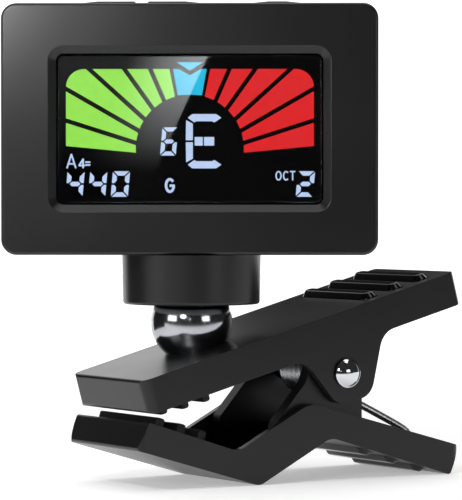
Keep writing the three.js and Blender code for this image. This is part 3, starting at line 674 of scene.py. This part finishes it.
segments("pitch_label", strokes([
    [(-18.3, -5.65), (-17.65, -3.65), (-17.0, -5.65)], [(-18.05, -5.05), (-17.25, -5.05)],
    [(-15.9, -5.65), (-15.9, -4.35), (-16.5, -5.3), (-15.7, -5.3)],
    [(-15.5, -4.8), (-14.9, -4.8)], [(-15.5, -5.22), (-14.9, -5.22)],
], 0.25), lit_white)
segments("octave_label", strokes([
    bend(13.2, -6.83, 0.75, 1.25, 0, 360), bend(14.32, -6.83, 0.75, 1.25, 50, 310),
    [(14.95, -6.2), (15.65, -6.2)], [(15.3, -6.2), (15.3, -7.46)],
], 0.2), lit_white)
segments("instrument_letter", strokes([
    bend(-2.97, -8.27, 1.15, 1.85, 45, 340) + [(-2.4, -8.3), (-2.9, -8.3)],
], 0.38), lit_white)


# Behind the display. Pieces that the closed head hides keep their shape and get the finish
# of the real thing: film, rubber, glass-fibre board, brass, nickel and black nylon.
def finish_node(node, material):
    """Gives one of the frame's own pieces its material."""
    piece = frame["nodes"][node]
    piece.data.materials.clear()
    piece.data.materials.append(material)


white_acrylic = grained("opal_acrylic_diffuser", "#DDE2EA", 0.5, 0.3, 0.002, 0.03)
dark_rubber = grained("carbon_filled_rubber", "#141415", 0.8, 0.15, 0.01)
black_nylon = grained("moulded_black_nylon", "#0F0F11", 0.4, 0.3, 0.006)
brass = polished("phosphor_bronze_strip", "#C9A24A", 0.28, 0.2, 8)
nickel = polished("nickel_plated_can", "#C9CBCE", 0.22, 0.15)

# Glass-fibre board: green solder resist with the darker lines of the copper under it.
circuit_green = new_material("green_solder_resist")
spot = add(circuit_green, "ShaderNodeTexCoord").outputs["Object"]
tracks = add(circuit_green, "ShaderNodeTexBrick", {"Vector": spot, "Scale": 250.0, "Mortar Size": 0.03,
                                                   "Color1": linear("#0F5A2E"), "Color2": linear("#12653A"),
                                                   "Mortar": linear("#1E8A50")})
resist = add(circuit_green, "ShaderNodeBsdfPrincipled", {"Base Color": tracks.outputs["Color"], "Roughness": 0.35,
                                                         "IOR": 1.5})
add(circuit_green, "ShaderNodeOutputMaterial", {"Surface": resist.outputs["BSDF"]})

for node, material in (
    ("backlight_panel", white_acrylic), ("zebra_connector", dark_rubber), ("circuit_board", circuit_green),
    ("piezo_disc", brass), ("battery_holder", black_nylon), ("coin_cell", nickel),
    ("battery_contact_minus", brass), ("battery_contact_plus", brass),
    ("switch_left", black_nylon), ("switch_middle", black_nylon), ("switch_right", black_nylon),
):
    finish_node(node, material)

# Socket cup. A turned-looking ABS cup under the head, trapped between the two shells by a
# flange; a friction ring, a magnet and a slippery liner inside it hold the ball.
cup_bottom, cup_seat, cup_roof = 2.75, head_bottom - gap, head_bottom + wall + gap
cup_radius, cup_foot, cup_mouth, cup_bore = 10.5, 10.35, 6.7, 8.2
lip = 0.45
cup_profile = [
    (0, cup_roof + 1), (6.4, cup_roof + 1), (6.4, cup_roof), (5, cup_roof), (5, cup_seat + 0.25),
    (cup_radius, cup_seat + 0.25),
    *arc(lip, 0, -pi / 2, 5, cup_bottom + lip, cup_foot - lip),
    *arc(0.3, -pi / 2, -pi, 4, cup_bottom + 0.3, cup_mouth + 0.3),
    (cup_mouth, cup_bottom + 0.9), (cup_bore, cup_bottom + 0.9), (cup_bore, cup_seat - 0.8), (0, cup_seat - 0.8),
]
cup = turned("socket_cup_body", cup_profile, 96)
show(cup, head_axes, "head", shell_plastic, ["socket_cup"])
finish_node("friction_ring", dark_rubber)
finish_node("socket_magnet", nickel)
finish_node("magnet_keeper", zinc_plate)
finish_node("ball_liner", white_acrylic)

# Ball stud. Steel, turned in one piece with its threaded shank, polished and
# plated in black nickel; a plain nut under the jaw's plate holds it.
# Black nickel: a dark mirror, so the lamps show in it as sharp white shapes.
black_nickel = polished("black_nickel_plate", "#B4B6BB", 0.14, 0.4)
ball_radius = 6.2
low = -asin((ball_lift + 0.05) / ball_radius)
stud = turned("ball_stud_turned", [
    (0, -5.4), (1.8, -5.4), (2, -5.2), (2, -0.05),
    *arc(ball_radius, low, pi / 2, 48, ball_lift),
], 128)
show(stud, upper_axes, "clip_upper", black_nickel, ["ball_stud"], crease=30)
finish_node("stud_nut", zinc_plate)

# Upper jaw. Glass-filled ABS: a long plate with side walls under it, which drop to a round
# lobe on each side for the hinge pin; three pockets on the handle take the grip bars.
jaw_plastic = grained("glass_filled_abs", "#101011", 0.3, 0.3, 0.01, gleam=0.42)
upper_front, upper_back, upper_width, upper_depth = -16.4, 42.1, 21.6, 5.3
plate, upper_wall = 1.8, 1.1
pivot_s, pivot_n = 18.3, -9.35
pin_radius = 1.5
upper_side = [
    (upper_front, 0, 0.5), (upper_back, 0, 0.5), (upper_back - 0.1, -upper_depth, 0.8), (26.4, -upper_depth, 3.5),
    (21.8, -13.95, 3.2), (15.5, -13.95, 3.3), (11.5, -upper_depth, 3.5), (upper_front, 0.1 - upper_depth, 0.8),
]
upper_length = upper_back - upper_front
upper_middle = upper_front + upper_length / 2
grip_length, grip_width, grip_pitch, grip_sunk = 18.5, 2.8, 5.0, 0.5
upper_grips = [26.9 + grip_pitch * k for k in range(3)]


def pin_bore(x, z):
    """The hole for the hinge pin."""
    return loft("bore", [(outline(round_plan(pin_radius + gap, x, z)), -20), (outline(round_plan(pin_radius + gap, x, z)), 20)])


def pocket(x):
    """The shallow round-ended pocket that a grip bar sits in."""
    corners = box(grip_width + 0.3, grip_length + 0.3, grip_width / 2, x)
    return loft("pocket", rounded(corners, -grip_sunk - gap, 2), "z")


upper = loft("upper_jaw_moulding", rounded(upper_side, -upper_width / 2, upper_width / 2))
work(upper, [loft("plan", rounded(box(upper_length, upper_width, 1.6, upper_middle), -20, 5), "z")], "INTERSECT")
hollow = box(upper_length - 2 * upper_wall, upper_width - 2 * upper_wall, 0.6, upper_middle)
work(upper, [loft("hollow", rounded(hollow, -20, -plate), "z"), pin_bore(pivot_s, pivot_n),
             turned("stem", [(0, -5), (2.3, -5), (2.3, 5), (0, 5)]), *[pocket(s) for s in upper_grips]])
show(upper, upper_axes, "clip_upper", jaw_plastic, ["upper_jaw"], edge=0.28)

# Grip bars. Gloss black inserts with round ends and a sloped edge, three on each handle.
# Gloss ABS: as moulded against a polished steel face, so it shines along every slope.
gloss_plastic = grained("gloss_moulded_abs", "#0B0B0D", 0.13, 2.0, 0.002)


def grip_bar(name, proud):
    """One bar, lying along Y, with its top at the height given above the handle."""
    corners = box(grip_width, grip_length, grip_width / 2 - 0.05)
    slope_rings = [(outline(corners, inset), height) for inset, height in (
        (0, -grip_sunk), (0, 0), (0.12, 0.12), (0.6, proud - 0.12), (0.75, proud - 0.03), (0.95, proud))]
    return loft(name, slope_rings, "z")


for number, s in enumerate(upper_grips, 1):
    bar = grip_bar(f"upper_grip_{number}_bar", 0.9)
    bar.data.transform(Matrix.Translation((s, 0, 0)))
    show(bar, upper_axes, "clip_upper", gloss_plastic, [f"upper_grip_{number}"], crease=50)

# Jaw pads. Soft black rubber, pressed into the jaws, with three ribs across each.
# Moulded rubber: dull and very slightly uneven, with no sharp highlight.
pad_rubber = grained("moulded_soft_rubber", "#0E0E0F", 0.65, 0.25, 0.02)
pad_length, rib_width, rib_pitch = 17.8, 1.5, 3.75


def ribbed_pad(name, base, tops):
    """A pad on its back, its ribs up, with soft edges everywhere."""
    pad = loft(name, rounded(box(2 * rib_pitch + rib_width + 2, pad_length + 1, 0.6), 0, base, 0.1, 0.25), "z")
    ribs = []
    for k, top in enumerate(tops):
        ribs.append(loft("rib", rounded(box(rib_width, pad_length, 0.7, (k - 1) * rib_pitch), base - 0.6, top, 0, 0.35), "z"))
    return work(pad, ribs, "UNION")


upper_pad = ribbed_pad("upper_pad_rubber", 2.6, (4.1, 4.4, 4.5))
upper_pad.data.transform(Matrix.Translation((-9.25, 0, -plate - gap)) @ Matrix.Rotation(pi, 4, "X"))
show(upper_pad, upper_axes, "clip_upper", pad_rubber, ["upper_pad"])
channel_fall = atan2(7.2 - 1.33, 5.3 + 13.9)
lower_pad = ribbed_pad("lower_pad_rubber", 2.3, (3.7, 3.8, 3.8))
lower_pad.data.transform(Matrix.Translation((-7.95 + gap * sin(channel_fall), 0, 7.2 - 5.95 * tan(channel_fall) + gap))
                         @ Matrix.Rotation(channel_fall, 4, "Y"))
show(lower_pad, lower_axes, "clip_lower", pad_rubber, ["lower_pad"])

# Lower jaw. The same moulding material, bent at its middle so that it stands on the bend
# and on the handle's end, with two ears inside the upper jaw's lobes for the hinge pin.
lower_width, lower_wall = 21.6, 1.1
lower_left, lower_right = -15.5, 42.6
lower_side = [
    (lower_left, 5.85, 0.5), (5.46, -0.3, 2.2), (18.3, 6.37, 3), (40.6, -0.35, 0.6),
    (lower_right, 4.1, 0.6), (14.6, 11.8, 5), (1.65, 5.05, 3), (-13.75, 9.95, 0.5),
]
channel = [(-13.9, 7.2, 0), (5.3, 1.33, 2.5), (18.1, 8, 4), (40, 1.4, 0), (41.6, 6, 0), (41.6, 30, 0),
           (-12.75, 30, 0), (-12.75, 10, 0)]
ear = [(10.6, 1, 0), (20, 6, 0), (25, 5.5, 0), (25, 20.7, 4.2), (16.8, 20.7, 4.2), (14.7, 14.8, 3), (9.2, 8.6, 1.5)]
ear_keep = [(0, 1.5, 0), (5.46, 0.4, 0), (18.3, 7.2, 0), (40, 1, 0), (40, 30, 0), (0, 30, 0)]
ear_inner, ear_outer = 7.0, 9.2
handle_x, handle_z, handle_fall = 18.3, 6.37, atan2(6.72, 22.3)
pivot = lower_axes.inverted() @ pin
lower = loft("lower_jaw_moulding", rounded(lower_side, -lower_width / 2, lower_width / 2))
plan = box(lower_right - lower_left, lower_width, 1.6, (lower_left + lower_right) / 2)
work(lower, [loft("plan", rounded(plan, -5, 40), "z")], "INTERSECT")
work(lower, [loft("channel", rounded(channel, lower_wall - lower_width / 2, lower_width / 2 - lower_wall))])
for y in (-ear_outer, ear_inner):
    plate_ear = loft("ear", rounded(ear, y, y + ear_outer - ear_inner))
    work(plate_ear, [loft("keep", rounded(ear_keep, y - 1, y + 4))], "INTERSECT")
    work(lower, [plate_ear], "UNION")
lower_grips = [26.2 + grip_pitch * k for k in range(3)]


def under_handle(piece, x):
    """Turns a piece over and sets it on the lower handle's sloping underside."""
    height = handle_z - (x - handle_x) * tan(handle_fall)
    turned_over = Matrix.Rotation(handle_fall, 4, "Y") @ Matrix.Rotation(pi, 4, "X")
    piece.data.transform(Matrix.Translation((x, 0, height)) @ turned_over)
    return piece


work(lower, [pin_bore(pivot.x, pivot.z), *[under_handle(pocket(0), x) for x in lower_grips]])
show(lower, lower_axes, "clip_lower", jaw_plastic, ["lower_jaw"], edge=0.25)
for number, x in enumerate(lower_grips, 1):
    bar = under_handle(grip_bar(f"lower_grip_{number}_bar", 0.75), x)
    show(bar, lower_axes, "clip_lower", gloss_plastic, [f"lower_grip_{number}"], crease=50)

# Hinge pin. A steel rivet with a low dome on each end, bright nickel-chrome plated.
# Chrome: a near-perfect mirror, pale and cold.
chrome = polished("bright_chrome_plate", "#DCDEE2", 0.06, 0.4)
dome_radius, dome_height = 2.25, 1.15
reach = upper_width / 2 + gap
sphere = (dome_radius ** 2 + dome_height ** 2) / (2 * dome_height)
dome = arc(sphere, asin((sphere - dome_height) / sphere), pi / 2, 14, reach + dome_height - sphere)
half = [(pin_radius, reach), (dome_radius - 0.1, reach), (dome_radius, reach + 0.1), *dome[1:]]
rivet = turned("hinge_pin_rivet", [(r, -z) for r, z in reversed(half)] + half, 64)
turn(rivet, 90, "X")
show(rivet, pin_axes, "clip_lower", chrome, ["hinge_pin"], crease=40)

# Torsion spring. Bright spring-steel wire wound four and a half turns round the pin; one
# leg presses up under the upper handle, and the other's bent foot down on the lower one.
spring_wire = polished("bright_spring_wire", "#E4E6EA", 0.3, 0.15, 3)
wire, coil, turns, coil_pitch = 0.6, 3.1, 4.5, 1.3
far_end, near_end = -0.4 + turns * coil_pitch / 2, -0.4 - turns * coil_pitch / 2
route = [(x, far_end, z) for x, z in ((15.4, 10.8), (11, 8.4), (6, 5.3), (2.6, 3.65))]
around = int(turns * 24)
for k in range(around + 1):
    angle = pi / 2 + k / around * turns * 2 * pi
    route.append((coil * cos(angle), far_end + (near_end - far_end) * k / around, coil * sin(angle)))
route += [(x, near_end, z) for x, z in ((2, -3.25), (4.4, -4.05), (7.7, -5.55), (12, -7.65), (16.2, -9.75),
                                        (16.9, -10.6), (17.05, -12), (17.1, -13.6))]
line = bpy.data.curves.new("torsion_spring_wire", "CURVE")
line.dimensions = "3D"
line.bevel_depth, line.bevel_resolution, line.use_fill_caps = wire, 4, True
strand = line.splines.new("NURBS")
strand.points.add(len(route) - 1)
for point, spot in zip(strand.points, route):
    point.co = (*spot, 1)
strand.use_endpoint_u, strand.order_u, strand.resolution_u = True, 4, 3
spring = bpy.data.objects.new("torsion_spring_wire", line)
bpy.context.scene.collection.objects.link(spring)
wound = bpy.data.meshes.new_from_object(spring.evaluated_get(bpy.context.evaluated_depsgraph_get()))
bpy.data.objects.remove(spring)
spring = bpy.data.objects.new("torsion_spring_wound", wound)
bpy.context.scene.collection.objects.link(spring)
wound.shade_smooth()
wound.transform(pin_axes)
wound.materials.clear()
wound.materials.append(spring_wire)
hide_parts("torsion_spring")
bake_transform(spring)
